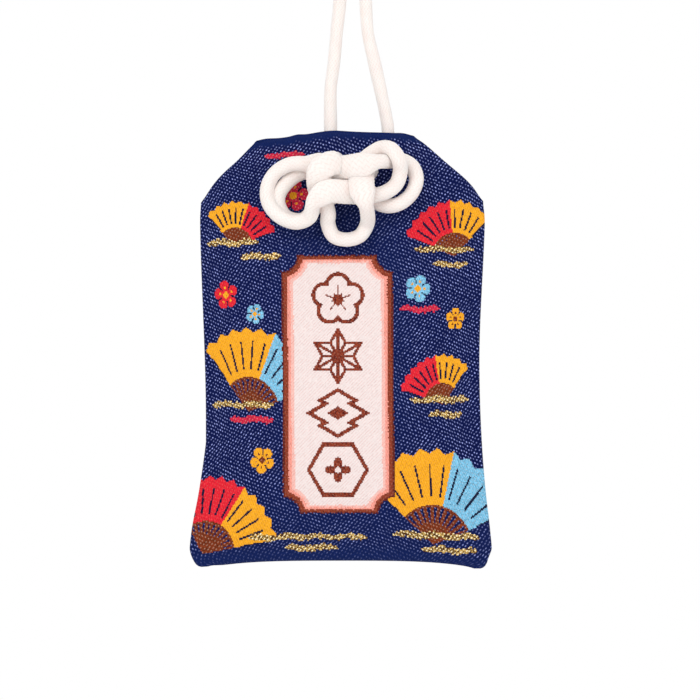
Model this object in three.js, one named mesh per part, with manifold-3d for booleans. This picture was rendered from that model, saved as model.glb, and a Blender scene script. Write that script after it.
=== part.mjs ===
// An omamori charm: a padded brocade pouch with an ornamental cord knot on its front, hung on a cord loop.
// Millimetres, +Z up, the front faces -Y. The origin is the underside of the hanging loop's top.
import * as THREE from 'three';
import { mergeVertices } from 'three/addons/utils/BufferGeometryUtils.js';
import Module from 'manifold-3d';

const wasm = await Module();
wasm.setup();

// Pouch outline, seen from the front; drops are measured down from its top edge
const LOOP_RISE = 52;
const POUCH_HEIGHT = 71.2;
const LEFT_TOP_HALF = 13.7;
const RIGHT_TOP_HALF = 11.2;
const SHOULDER_HALF = 23.6;
const SHOULDER_DROP = 11;
const WAIST_HALF = 22.2;
const LEFT_WAIST_DROP = 50;
const RIGHT_WAIST_DROP = 38;
const FOOT_HALF = 25.2;
const FOOT_CORNER = 2.2;
const FOOT_TIP_DROP = 1.3;
const TIP_ACROSS_POWER = 3;
const TIP_DROP_POWER = 8;

// Pouch cloth and filling; a higher power keeps a swell flat nearer to its edges
const CLOTH_WALL = 0.6;
const FRONT_CROWN = 4.4;
const FRONT_SIDE_POWER = 2.4;
const FRONT_END_POWER = 4;
const BACK_CROWN = 2.9;
const BACK_SIDE_POWER = 4;
const BACK_END_POWER = 6;
const BACK_FLAT_FROM = 0.8;
const SEAM_GAP = 0.3;
const FIT_GAP = 0.3;
const THREAD_DIAMETER = 0.5;
const CARD_WIDTH = 30;
const CARD_HEIGHT = 50;
const CARD_THICKNESS = 0.7;
const CARD_CHAMFER = 7;
const SLIP_WIDTH = 18;
const SLIP_HEIGHT = 44;
const SLIP_THICKNESS = 1.3;
const WRAPPER_PAPER = 0.25;
const WRAPPER_OVERHANG = 2;

// Woven label, standing proud of the ground weave
const LABEL_WIDTH = 18.8;
const LABEL_HEIGHT = 42.8;
const LABEL_NOTCH = 2.7;
const LABEL_RELIEF = 0.25;
const LABEL_TOP_DROP = 20.5;
const LABEL_CENTRE_X = -0.4;

// Cord and knot
const CORD_DIAMETER = 2.2;
const LAYER_GAP = 0.5;
const KNOT_LEAN = 0.08;
const KNOT_STAND_OFF = 3;
const HINGE_RISE = 1.6;
const CHANNEL_GAP = 0.3;

// Fineness of the tubes and of the cloth grids
const KNOT_SIDES = 6;
const KNOT_STEPS = 210;
const LOOP_SIDES = 8;
const LOOP_STEPS = 66;
const CHANNEL_SIDES = 8;
const CHANNEL_STEPS = 24;
const THREAD_SIDES = 6;
const THREAD_STEPS = 70;
const OUTER_GRID = { columns: 22, upperRows: 8, lowerRows: 20 };
const HOLLOW_GRID = { columns: 14, upperRows: 5, lowerRows: 12 };
const WADDING_GRID = { columns: 16, upperRows: 6, lowerRows: 14 };

// Values that follow from the sizes above
const TOP_Z = -LOOP_RISE;
const CORD_RADIUS = CORD_DIAMETER / 2;
const LAYER_PITCH = CORD_DIAMETER + LAYER_GAP;
const CARD_BACK_Y = SEAM_GAP / 2 + BACK_CROWN - CLOTH_WALL - FIT_GAP;
const WRAPPER_BACK_Y = CARD_BACK_Y - CARD_THICKNESS - FIT_GAP;
const WRAPPER_THICKNESS = SLIP_THICKNESS + 2 * (FIT_GAP + WRAPPER_PAPER);
const WADDING_BACK_Y = WRAPPER_BACK_Y - WRAPPER_THICKNESS - FIT_GAP;
const FILLING_Z = TOP_Z - POUCH_HEIGHT / 2;

const MATERIALS = {
  brocade: { color: 0x2a3572, roughness: 0.75, metalness: 0 },
  thread: { color: 0x1e2550, roughness: 0.8, metalness: 0 },
  wadding: { color: 0xf2eee4, roughness: 1, metalness: 0 },
  card: { color: 0xcdb89a, roughness: 0.9, metalness: 0 },
  wood: { color: 0xd9b98a, roughness: 0.7, metalness: 0 },
  paper: { color: 0xf7f3ea, roughness: 0.9, metalness: 0 },
  cord: { color: 0xfdf3ee, roughness: 0.85, metalness: 0 },
};

// Turns a closed geometry into a solid that can be joined and cut
function toSolid(geometry) {
  const bare = geometry.clone();
  bare.deleteAttribute('normal');
  bare.deleteAttribute('uv');
  const merged = mergeVertices(bare, 1e-3);
  return new wasm.Manifold(new wasm.Mesh({
    numProp: 3,
    vertProperties: new Float32Array(merged.attributes.position.array),
    triVerts: new Uint32Array(merged.index.array),
  }));
}

// Turns a solid back into a geometry
function toGeometry(solid) {
  const shape = solid.getMesh();
  const geometry = new THREE.BufferGeometry();
  geometry.setAttribute('position', new THREE.BufferAttribute(new Float32Array(shape.vertProperties), 3));
  geometry.setIndex(new THREE.BufferAttribute(new Uint32Array(shape.triVerts), 1));
  geometry.computeVertexNormals();
  return geometry;
}

// Builds one named sub-part
function piece(name, geometry, materialName) {
  const mesh = new THREE.Mesh(geometry, new THREE.MeshStandardMaterial(MATERIALS[materialName]));
  mesh.name = name;
  return mesh;
}

// Half width of the pouch on one side, at a drop below the top edge
function halfWidth(isLeft, drop) {
  const topHalf = isLeft ? LEFT_TOP_HALF : RIGHT_TOP_HALF;
  const waistDrop = isLeft ? LEFT_WAIST_DROP : RIGHT_WAIST_DROP;
  if (drop <= SHOULDER_DROP) {
    return THREE.MathUtils.lerp(topHalf, SHOULDER_HALF, drop / SHOULDER_DROP);
  }
  const cornerDrop = POUCH_HEIGHT - FOOT_CORNER;
  if (drop <= waistDrop) {
    const drawnIn = THREE.MathUtils.smoothstep(drop, SHOULDER_DROP, waistDrop);
    return THREE.MathUtils.lerp(SHOULDER_HALF, WAIST_HALF, drawnIn);
  }
  const flared = THREE.MathUtils.smoothstep(drop, waistDrop, cornerDrop);
  const half = THREE.MathUtils.lerp(WAIST_HALF, FOOT_HALF, flared);
  const into = Math.min(1, Math.max(0, drop - cornerDrop) / FOOT_CORNER);
  return half - FOOT_CORNER * (1 - Math.sqrt(1 - into * into));
}

// A point of the pouch outline drawn in by an inset: across runs -1 to 1, drop runs from the top edge down
function outlinePoint(across, drop, inset) {
  const kept = THREE.MathUtils.clamp(drop, inset, POUCH_HEIGHT - inset);
  const x = across * (halfWidth(across < 0, kept) - inset);
  const low = (kept / POUCH_HEIGHT) ** TIP_DROP_POWER;
  const tip = FOOT_TIP_DROP * Math.abs(across) ** TIP_ACROSS_POWER * low;
  return new THREE.Vector2(x, TOP_Z - kept - tip);
}

// Puffed depth of the front, highest in the middle and rolled over at every edge
function frontSwell(across, rise) {
  return Math.sqrt((1 - Math.abs(across) ** FRONT_SIDE_POWER) * (1 - Math.abs(rise) ** FRONT_END_POWER));
}

// Puffed depth of the back, with a flat middle where it lies on a surface
function backSwell(across, rise) {
  const swell = Math.sqrt((1 - Math.abs(across) ** BACK_SIDE_POWER) * (1 - Math.abs(rise) ** BACK_END_POWER));
  return Math.min(1, swell / BACK_FLAT_FROM);
}

// Drops of the grid rows, closer together at the top edge, the shoulder and the foot
function rowDrops(inset, upperRows, lowerRows) {
  const drops = [];
  for (let i = 0; i < upperRows; i += 1) {
    drops.push(inset + (SHOULDER_DROP - inset) * (1 - Math.cos((Math.PI / 2) * (i / upperRows))));
  }
  for (let i = 0; i <= lowerRows; i += 1) {
    const reach = Math.sin((Math.PI / 2) * (i / lowerRows));
    drops.push(THREE.MathUtils.lerp(SHOULDER_DROP, POUCH_HEIGHT - inset, reach));
  }
  return drops;
}

// One half of the pillow: a swollen face, a straight skirt and a flat base on the seam side
function halfPillow({ facing, inset, crown, swell, skirt, columns, upperRows, lowerRows }) {
  const rimY = (facing * SEAM_GAP) / 2;
  const baseY = rimY - facing * skirt;
  const drops = rowDrops(inset, upperRows, lowerRows);
  const lastRow = drops.length - 1;
  const positions = [];
  const triangles = [];
  const addTriangle = (a, b, c) => triangles.push(...(facing < 0 ? [a, b, c] : [a, c, b]));
  for (const drop of drops) {
    const rise = 1 - (2 * (drop - inset)) / (POUCH_HEIGHT - 2 * inset);
    for (let i = 0; i <= columns; i += 1) {
      const across = -Math.cos((Math.PI * i) / columns);
      const point = outlinePoint(across, drop, inset);
      const depth = crown * swell(across, THREE.MathUtils.clamp(rise, -1, 1));
      positions.push(point.x, rimY + facing * depth, point.y);
    }
  }
  const stride = columns + 1;
  for (let row = 0; row < lastRow; row += 1) {
    for (let i = 0; i < columns; i += 1) {
      const corner = row * stride + i;
      addTriangle(corner, corner + stride, corner + 1);
      addTriangle(corner + 1, corner + stride, corner + stride + 1);
    }
  }
  const rim = [];
  for (let i = 0; i < columns; i += 1) rim.push(i);
  for (let row = 0; row < lastRow; row += 1) rim.push(row * stride + columns);
  for (let i = columns; i > 0; i -= 1) rim.push(lastRow * stride + i);
  for (let row = lastRow; row > 0; row -= 1) rim.push(row * stride);
  const firstBase = positions.length / 3;
  for (const index of rim) positions.push(positions[3 * index], baseY, positions[3 * index + 2]);
  const middle = positions.length / 3;
  positions.push(0, baseY, FILLING_Z);
  for (let i = 0; i < rim.length; i += 1) {
    const next = (i + 1) % rim.length;
    if (skirt > 0) {
      addTriangle(rim[i], rim[next], firstBase + i);
      addTriangle(rim[next], firstBase + next, firstBase + i);
    }
    addTriangle(firstBase + i, firstBase + next, middle);
  }
  const geometry = new THREE.BufferGeometry();
  geometry.setAttribute('position', new THREE.Float32BufferAttribute(positions, 3));
  geometry.setIndex(triangles);
  return toSolid(geometry);
}

// A cloth shell, hollow towards the seam plane
function clothShell(facing, crown, swell) {
  const outer = halfPillow({ facing, inset: 0, crown, swell, skirt: 0, ...OUTER_GRID });
  const hollow = halfPillow({
    facing,
    inset: CLOTH_WALL,
    crown: crown - CLOTH_WALL,
    swell,
    skirt: SEAM_GAP / 2,
    ...HOLLOW_GRID,
  });
  return outer.subtract(hollow);
}

// A tube along a smooth path through points
function tube(points, diameter, steps, sides) {
  const section = new THREE.Shape();
  section.absarc(0, 0, diameter / 2, 0, 2 * Math.PI);
  const path = new THREE.CatmullRomCurve3(points, false, 'centripetal');
  return new THREE.ExtrudeGeometry(section, { steps, extrudePath: path, curveSegments: sides / 2 });
}

// The label's outline with a hollow round notch at each corner
function labelOutline() {
  const right = LABEL_WIDTH / 2;
  const top = LABEL_HEIGHT / 2;
  const outline = new THREE.Shape();
  outline.moveTo(-right, -top + LABEL_NOTCH);
  outline.absarc(-right, -top, LABEL_NOTCH, Math.PI / 2, 0, true);
  outline.absarc(right, -top, LABEL_NOTCH, Math.PI, Math.PI / 2, true);
  outline.absarc(right, top, LABEL_NOTCH, (3 * Math.PI) / 2, Math.PI, true);
  outline.absarc(-right, top, LABEL_NOTCH, 2 * Math.PI, (3 * Math.PI) / 2, true);
  return outline;
}

// The raised woven label, cut from a slightly fuller front
function labelRelief() {
  const reach = FRONT_CROWN + LABEL_RELIEF + SEAM_GAP;
  const prism = new THREE.ExtrudeGeometry(labelOutline(), {
    depth: reach, bevelEnabled: false, curveSegments: 4,
  });
  prism.rotateX(Math.PI / 2);
  prism.translate(LABEL_CENTRE_X, 0, TOP_Z - LABEL_TOP_DROP - LABEL_HEIGHT / 2);
  const face = { facing: -1, inset: 0, swell: frontSwell, skirt: 0, ...OUTER_GRID };
  const fuller = halfPillow({ ...face, crown: FRONT_CROWN + LABEL_RELIEF });
  const sunk = halfPillow({ ...face, crown: FRONT_CROWN - CLOTH_WALL / 2 });
  return fuller.subtract(sunk).intersect(toSolid(prism));
}

// The knot's route. Leads: x, drop below the top edge, distance in front of the seam plane.
const LEFT_LEAD = [
  [-1.75, CORD_RADIUS + FIT_GAP - HINGE_RISE, 0], [-1.75, 0.9, 0], [-1.6, 2.4, 0.3], [-1.3, 3.6, 1.4],
  [-1.1, 4.1, 3.6], [-1, 4.2, 6.5], [-1.5, 4.4, 9.4], [-2.8, 5, 10.5],
];
const RIGHT_LEAD = [
  [4.3, 6.2, 3.4], [5.2, 5.2, 1.4], [6.4, 3.2, 0.4], [7.3, 1.4, 0],
  [7.75, CORD_RADIUS + FIT_GAP - HINGE_RISE, 0],
];

// Turns and passes of the knot: x, drop below the top edge, layer counted from the cloth
const KNOT_TURNS = [
  [-4, 6.4, 2.1], [-4.1, 8.2, 1.75], [-3.7, 9.8, 1.05], [-2.6, 11.8, 1], [-2.2, 13.6, 0.7],
  [-2.3, 15.2, 0.3], [-1.3, 17.3, 0.2], [1, 17.9, 0.2], [3.3, 17.2, 0.2], [4.5, 15.4, 0.4], [4.6, 13.5, 1.45],
  [4.4, 11.7, 2.15], [4.3, 10, 2.15], [4.2, 8.4, 1.75], [4.2, 6.9, 1.1], [4.3, 5, 1],
  [4.8, 3.4, 0.95], [6.4, 2.4, 1.1], [8.4, 2.7, 1.5], [9.8, 4.6, 1.6], [10, 6.6, 1.2], [9.3, 9, 1],
  [7.3, 10.5, 1], [5.2, 10.9, 1.05], [3.4, 10.9, 1.05], [0.6, 10.9, 1.6], [-2.2, 10.8, 2.1], [-4.2, 12.3, 1.95],
  [-5.2, 14.3, 1.2], [-7.3, 14.9, 1], [-10, 14.1, 0.9], [-12.2, 11.9, 0.7], [-12.5, 9.2, 0.6],
  [-11.2, 6.7, 0.7], [-8.8, 5.2, 0.9], [-6.3, 5, 1],
  [-3.9, 5.9, 1.05], [-1.6, 7.1, 1.1], [0.6, 6.6, 1.45], [2.4, 5.4, 1.95], [4.2, 5, 2.1], [6.1, 5, 1.95],
  [7.7, 5, 0.75], [8.9, 4.8, 0.05], [10.2, 4.8, 0], [11.8, 5.8, 0], [12.6, 8, 0.2], [11.6, 10.6, 0.3],
  [9.3, 12.1, 0.4], [6.9, 12.2, 0.1],
  [3.8, 10, 0], [0.7, 9.4, 0], [-1.8, 9.9, 0], [-4.2, 12.6, 0],
  [-6.3, 14.2, 0], [-8.6, 13.7, 0], [-9.9, 11.9, 0], [-10.2, 9.7, 0], [-9.2, 7.9, 0], [-7, 7, 0],
  [-4.2, 7, 0], [-1, 6.9, 0], [0.9, 6.5, 0], [2.6, 6.1, 0],
];

// The hanging loop's route: x, height above the pouch's top edge
const LOOP_ROUTE = [
  [-1.75, HINGE_RISE], [-1.75, 7.3], [-1.2, 11.8], [-0.75, 16.8], [-0.2, 22.2], [-0.2, 28], [-0.8, 35],
  [-1.6, 42], [-2.3, 47.5], [-2.2, 50.3], [-1.5, 52.2], [0, LOOP_RISE + CORD_RADIUS], [1.5, 52.2],
  [2.2, 50.3], [2.4, 47.5], [2.9, 42],
  [3.4, 35], [3.9, 28], [4.12, 22.2], [4.5, 16.8], [5.6, 11.8], [6.6, 7.3], [7.75, HINGE_RISE],
];

// Places a lead point
function leadPoint([x, drop, forward]) {
  return new THREE.Vector3(x, -forward, TOP_Z - drop);
}

// Places a knot point on its layer; the knot leans with the swell of the cloth
function knotPoint([x, drop, layer]) {
  const cloth = SEAM_GAP / 2 + KNOT_STAND_OFF + KNOT_LEAN * drop;
  const forward = cloth + FIT_GAP + CORD_RADIUS + layer * LAYER_PITCH;
  return new THREE.Vector3(x, -forward, TOP_Z - drop);
}

// Least gap between the tube and itself, measured on points that lie well apart along it
function leastGapToItself(points, diameter) {
  const path = new THREE.CatmullRomCurve3(points, false, 'centripetal');
  const spacing = 0.25;
  const count = Math.ceil(path.getLength() / spacing);
  const samples = path.getSpacedPoints(count);
  const apart = Math.ceil((2.5 * diameter) / spacing);
  let least = Infinity;
  for (let i = 0; i < samples.length; i += 1) {
    for (let j = i + apart; j < samples.length; j += 1) {
      least = Math.min(least, samples[i].distanceTo(samples[j]));
    }
  }
  return least - diameter;
}

const knotRoute = [
  ...LEFT_LEAD.map(leadPoint), ...KNOT_TURNS.map(knotPoint), ...RIGHT_LEAD.map(leadPoint),
];
const loopRoute = LOOP_ROUTE.map(([x, height]) => new THREE.Vector3(x, 0, TOP_Z + height));

// Room for the cord where it passes through the cloth and out of the mouth
function cordChannel(lead) {
  const mouth = lead.find((point) => point.y === 0 && point.z > TOP_Z);
  const above = new THREE.Vector3(mouth.x, 0, TOP_Z + HINGE_RISE);
  const route = mouth === lead[0] ? [above, ...lead] : [...lead, above];
  return toSolid(tube(route, CORD_DIAMETER + 2 * CHANNEL_GAP, CHANNEL_STEPS, CHANNEL_SIDES));
}

const leftChannel = cordChannel([...LEFT_LEAD.map(leadPoint), knotPoint(KNOT_TURNS[0])]);
const rightChannel = cordChannel([knotPoint(KNOT_TURNS.at(-1)), ...RIGHT_LEAD.map(leadPoint)]);

// Cuts both cord channels out of a piece
function passCord(solid) {
  return solid.subtract(leftChannel).subtract(rightChannel);
}

function frontPanel() {
  return toGeometry(passCord(clothShell(-1, FRONT_CROWN, frontSwell).add(labelRelief())));
}

function backPanel() {
  return toGeometry(passCord(clothShell(1, BACK_CROWN, backSwell)));
}

// The soft pad behind the front, crowned like the cloth and flat towards the talisman
function wadding() {
  const inset = CLOTH_WALL + FIT_GAP;
  const filled = halfPillow({
    facing: -1,
    inset,
    crown: FRONT_CROWN - inset,
    swell: frontSwell,
    skirt: 0,
    ...WADDING_GRID,
  });
  const keptDepth = FRONT_CROWN + WADDING_BACK_Y;
  const slab = new THREE.BoxGeometry(4 * FOOT_HALF, keptDepth, 2 * POUCH_HEIGHT);
  slab.translate(0, WADDING_BACK_Y - keptDepth / 2, FILLING_Z);
  return toGeometry(passCord(filled.intersect(toSolid(slab))));
}

// The stiffening card behind the talisman, with its corners cut off
function stiffenerCard() {
  const right = CARD_WIDTH / 2;
  const top = CARD_HEIGHT / 2;
  const outline = new THREE.Shape([
    new THREE.Vector2(-right, -top + CARD_CHAMFER),
    new THREE.Vector2(-right + CARD_CHAMFER, -top),
    new THREE.Vector2(right - CARD_CHAMFER, -top),
    new THREE.Vector2(right, -top + CARD_CHAMFER),
    new THREE.Vector2(right, top - CARD_CHAMFER),
    new THREE.Vector2(right - CARD_CHAMFER, top),
    new THREE.Vector2(-right + CARD_CHAMFER, top),
    new THREE.Vector2(-right, top - CARD_CHAMFER),
  ]);
  const geometry = new THREE.ExtrudeGeometry(outline, { depth: CARD_THICKNESS, bevelEnabled: false });
  geometry.rotateX(Math.PI / 2);
  return geometry.translate(0, CARD_BACK_Y, FILLING_Z);
}

// The paper sleeve folded round the talisman, open at its top and bottom
function talismanWrapper() {
  const right = SLIP_WIDTH / 2 + FIT_GAP + WRAPPER_PAPER;
  const half = WRAPPER_THICKNESS / 2;
  const sleeve = new THREE.Shape([
    new THREE.Vector2(-right, -half),
    new THREE.Vector2(right, -half),
    new THREE.Vector2(right, half),
    new THREE.Vector2(-right, half),
  ]);
  const innerRight = right - WRAPPER_PAPER;
  const innerHalf = half - WRAPPER_PAPER;
  sleeve.holes.push(new THREE.Path([
    new THREE.Vector2(-innerRight, -innerHalf),
    new THREE.Vector2(-innerRight, innerHalf),
    new THREE.Vector2(innerRight, innerHalf),
    new THREE.Vector2(innerRight, -innerHalf),
  ]));
  const length = SLIP_HEIGHT + 2 * WRAPPER_OVERHANG;
  const geometry = new THREE.ExtrudeGeometry(sleeve, { depth: length, bevelEnabled: false });
  return geometry.translate(0, WRAPPER_BACK_Y - half, FILLING_Z - length / 2);
}

// The wooden talisman slip
function talismanSlip() {
  const geometry = new THREE.BoxGeometry(SLIP_WIDTH, SLIP_THICKNESS, SLIP_HEIGHT);
  return geometry.translate(0, WRAPPER_BACK_Y - WRAPPER_THICKNESS / 2, FILLING_Z);
}

// The sewing thread just inside the seam, down one side, along the foot and up the other side
function seamThread() {
  const inset = CLOTH_WALL + FIT_GAP + THREAD_DIAMETER / 2;
  const sideRows = 12;
  const footRows = 6;
  const footReach = 0.9;
  const route = [];
  const addPoint = (across, drop) => {
    const point = outlinePoint(across, drop, inset);
    route.push(new THREE.Vector3(point.x, 0, point.y));
  };
  const lastDrop = POUCH_HEIGHT - FOOT_CORNER - inset;
  const sideDrop = (i) => THREE.MathUtils.lerp(SHOULDER_DROP, lastDrop, i / sideRows);
  const footAcross = (i) => THREE.MathUtils.lerp(-footReach, footReach, i / footRows);
  for (let i = 0; i <= sideRows; i += 1) addPoint(-1, sideDrop(i));
  for (let i = 0; i <= footRows; i += 1) addPoint(footAcross(i), POUCH_HEIGHT);
  for (let i = sideRows; i >= 0; i -= 1) addPoint(1, sideDrop(i));
  return tube(route, THREAD_DIAMETER, THREAD_STEPS, THREAD_SIDES);
}

// The hanging loop, with round ends on the line that the pouch swings about
function hangingLoop() {
  let solid = toSolid(tube(loopRoute, CORD_DIAMETER, LOOP_STEPS, LOOP_SIDES));
  for (const end of [loopRoute[0], loopRoute.at(-1)]) {
    const ball = new THREE.SphereGeometry(CORD_RADIUS, LOOP_SIDES, LOOP_SIDES - 2);
    ball.rotateX(Math.PI / 2);
    ball.translate(end.x, end.y, end.z);
    solid = solid.add(toSolid(ball));
  }
  return toGeometry(solid);
}

const knotGap = leastGapToItself(knotRoute, CORD_DIAMETER);
const loopGap = leastGapToItself(loopRoute, CORD_DIAMETER);
console.log(`least gap of the knot cord to itself: ${knotGap.toFixed(2)} mm`);
console.log(`least gap of the hanging loop to itself: ${loopGap.toFixed(2)} mm`);

const pouch = new THREE.Group();
pouch.add(
  piece('front_panel', frontPanel(), 'brocade'),
  piece('back_panel', backPanel(), 'brocade'),
  piece('seam_thread', seamThread(), 'thread'),
  piece('wadding', wadding(), 'wadding'),
  piece('stiffener_card', stiffenerCard(), 'card'),
  piece('talisman_wrapper', talismanWrapper(), 'paper'),
  piece('talisman_slip', talismanSlip(), 'wood'),
  piece('knot_cord', tube(knotRoute, CORD_DIAMETER, KNOT_STEPS, KNOT_SIDES), 'cord'),
);

const charm = new THREE.Group();
charm.add(pouch, piece('hanging_loop', hangingLoop(), 'cord'));

export default charm;
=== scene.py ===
"""Looks of an omamori charm: woven brocade pouch, braided knot and hanging cord. Metres, front to -Y."""

import math

import bmesh
import bpy
import numpy as np
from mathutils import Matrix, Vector


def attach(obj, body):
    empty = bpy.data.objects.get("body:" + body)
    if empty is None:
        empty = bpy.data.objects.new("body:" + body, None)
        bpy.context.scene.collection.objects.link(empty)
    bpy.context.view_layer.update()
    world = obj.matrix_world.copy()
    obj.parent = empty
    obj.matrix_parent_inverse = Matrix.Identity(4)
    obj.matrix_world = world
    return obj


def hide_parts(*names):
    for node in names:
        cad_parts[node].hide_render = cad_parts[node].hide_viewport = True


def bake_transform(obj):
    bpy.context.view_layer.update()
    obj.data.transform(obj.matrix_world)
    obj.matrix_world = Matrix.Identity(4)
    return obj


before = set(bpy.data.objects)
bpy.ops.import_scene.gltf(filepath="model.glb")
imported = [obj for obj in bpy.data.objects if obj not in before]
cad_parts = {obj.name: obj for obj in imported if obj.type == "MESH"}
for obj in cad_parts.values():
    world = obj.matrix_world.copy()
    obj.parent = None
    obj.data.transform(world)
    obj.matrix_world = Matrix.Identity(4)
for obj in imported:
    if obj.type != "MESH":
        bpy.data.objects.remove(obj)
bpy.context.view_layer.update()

MM = 0.001

# Pouch, in millimetres; drops are measured down from the middle of its top edge
POUCH_TOP_Z = -52.0
POUCH_HEIGHT = 71.4
FLAT_HALF = 25.2
SHOULDER_DROP = 11.0
FOOT_CORNER = 3.0
FOOT_TIP_DROP = 1.2
LEFT_TOP_FLAT = 14.9
RIGHT_TOP_FLAT = 12.8
LEFT_SIDE = {"shoulder": 23.6, "waist": 22.6, "waist_drop": 48.0, "flare_drop": 51.5, "flare_power": 1.1}
RIGHT_SIDE = {"shoulder": 24.1, "waist": 23.15, "waist_drop": 38.0, "flare_drop": 38.0, "flare_power": 2.0}
CELL = 0.2
HEM_DEPTH = 3.4
HEM_ROLL = 0.32
# Hems, in millimetres: the mouth's hem at the top is woven plain; the band, fade and share at the foot are
# painted shade where the cloth rolls under its seam
TOP_HEM = 0.5
FOOT_SHADE_BAND = 0.85
TOP_HEM_FADE = 0.9
FOOT_SHADE_FADE = 3.6
FOOT_SHADE_SHARE = 0.82
CALM_SHARE = 0.38

# Stuffed forms of both sides, in millimetres: crown and reach of the roll from each edge; cloth settings
FRONT_SHAPE = {
    "crown": 2.7, "side": 10.0, "foot": 9.0, "top": 15.0, "shoulder": 10.0,
    "stiffness": 3.0, "slack": 0.003, "pressure": 0.4,
}
BACK_SHAPE = {
    "crown": 2.5, "side": 8.0, "foot": 8.0, "top": 9.0, "shoulder": 7.0,
    "stiffness": 3.0, "slack": 0.002, "pressure": 0.1,
}

# Label, in millimetres
LABEL_CENTRE_X = -0.5
LABEL_TOP_DROP = 20.5
LABEL_WIDTH = 18.7
LABEL_HEIGHT = 42.8
LABEL_NOTCH = 2.7
LABEL_INNER_BORDER = 2.1
LABEL_LEAN = 0.009
LABEL_END_RATIO = 1.5
LABEL_END_FRAY = 0.24
LABEL_SIDE_FRAY = 0.07

# Cord, in millimetres: pulled thin where it carries the pouch, fuller where it lies loose in the knot
STRAND_RADIUS = 1.05
KNOT_RADIUS = 1.2
HINGE_RISE = 1.6
LEFT_STRAND_X = -1.75
RIGHT_STRAND_X = 7.75
LAYER_PITCH = 2.7
KNOT_LEAN = 0.08
KNOT_FLOOR = 4.55

# Camera: the photo shows 700 pixels at 6 to the millimetre; its centre is given in millimetres
FRAME_WIDTH = 700 / 6 * MM
FRAME_CENTRE = Vector((1.5 * MM, -2.0 * MM, (POUCH_TOP_Z - 36.17) * MM))
CAMERA_DISTANCE = 0.62
SENSOR = 36.0


def srgb(red, green, blue):
    """A colour written in 0 to 255 as linear values."""
    def linear(value):
        value = value / 255
        return value / 12.92 if value <= 0.04045 else ((value + 0.055) / 1.055) ** 2.4
    return (linear(red), linear(green), linear(blue), 1.0)


PALE_DOT = srgb(168, 180, 248)
FILL_POINT = srgb(250, 212, 188)
CORD_CREAM = srgb(252, 244, 239)
CORD_WARM = srgb(251, 239, 234)
CORD_FIBRE = srgb(232, 213, 205)
# Painted shade: the colour of the grooves between the braid's strands
CORD_GROOVE_SHADE = srgb(226, 204, 195)
CORD_GIRTH = 7.2

# Threads: colour, rise in millimetres, how much single picks differ in tone, pale tint at the weave points
THREADS = [
    (srgb(4, 16, 70), 0.0, 0.06, 0.0), (srgb(14, 32, 86), 0.0, 0.06, 0.0),
    (srgb(24, 24, 54), 0.02, 0.05, 0.0), (srgb(244, 168, 36), 0.07, 0.07, 0.06),
    (srgb(224, 36, 52), 0.07, 0.08, 0.08),
    (srgb(122, 188, 221), 0.07, 0.16, 0.2), (srgb(118, 50, 24), 0.06, 0.2, 0.28),
    (srgb(216, 178, 100), 0.1, 0.1, 0.0), (srgb(204, 38, 68), 0.08, 0.14, 0.26),
    (srgb(241, 226, 223), 0.06, 0.02, 0.0), (srgb(246, 192, 182), 0.06, 0.05, 0.0),
    (srgb(242, 156, 141), 0.07, 0.07, 0.0), (srgb(140, 60, 40), 0.09, 0.12, 0.1),
    (srgb(98, 34, 28), 0.08, 0.15, 0.1),
]
(
    GROUND, HEM, RIB, AMBER, RED, SKY, BROWN, GOLD, CRIMSON, FIELD,
    PINK, CORAL, BORDER, EDGE,
) = range(len(THREADS))
THREAD_COLOURS, THREAD_RELIEF, THREAD_MOTTLE, THREAD_POINTS = (np.array(column) for column in zip(*THREADS))


# Camera

def make_camera():
    data = bpy.data.cameras.new("camera")
    data.sensor_width = SENSOR
    data.lens = SENSOR * CAMERA_DISTANCE / FRAME_WIDTH
    data.clip_start = 0.05
    data.clip_end = 10
    camera = bpy.data.objects.new("camera", data)
    bpy.context.scene.collection.objects.link(camera)
    camera.location = FRAME_CENTRE - Vector((0, CAMERA_DISTANCE, 0))
    camera.rotation_euler = (math.pi / 2, 0, 0)
    bpy.context.scene.camera = camera


# Helpers

CURVE_STEPS = 24


def smoothstep(value, low, high):
    t = np.clip((value - low) / (high - low), 0, 1)
    return t * t * (3 - 2 * t)


def new_piece(name, vertices, faces):
    """A smooth mesh object from points in metres."""
    mesh = bpy.data.meshes.new(name)
    mesh.from_pydata([tuple(point) for point in vertices], [], [tuple(face) for face in faces])
    mesh.polygons.foreach_set("use_smooth", [True] * len(mesh.polygons))
    mesh.update()
    piece = bpy.data.objects.new(name, mesh)
    bpy.context.scene.collection.objects.link(piece)
    return piece


def between(a, b, t, start, end):
    return (end - t) / (end - start) * a + (t - start) / (end - start) * b


def corner_points(mesh):
    """The point at each corner of each face."""
    points = np.zeros(len(mesh.loops), int)
    mesh.loops.foreach_get("vertex_index", points)
    return points


def write_values(mesh, name, kind, domain, values):
    field = "color" if kind == "FLOAT_COLOR" else "value"
    mesh.attributes.new(name, kind, domain).data.foreach_set(field, values.ravel())


def write_uv(mesh, name, across, up):
    mesh.uv_layers.new(name=name).data.foreach_set("uv", np.stack([across, up], axis=1).ravel())


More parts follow.
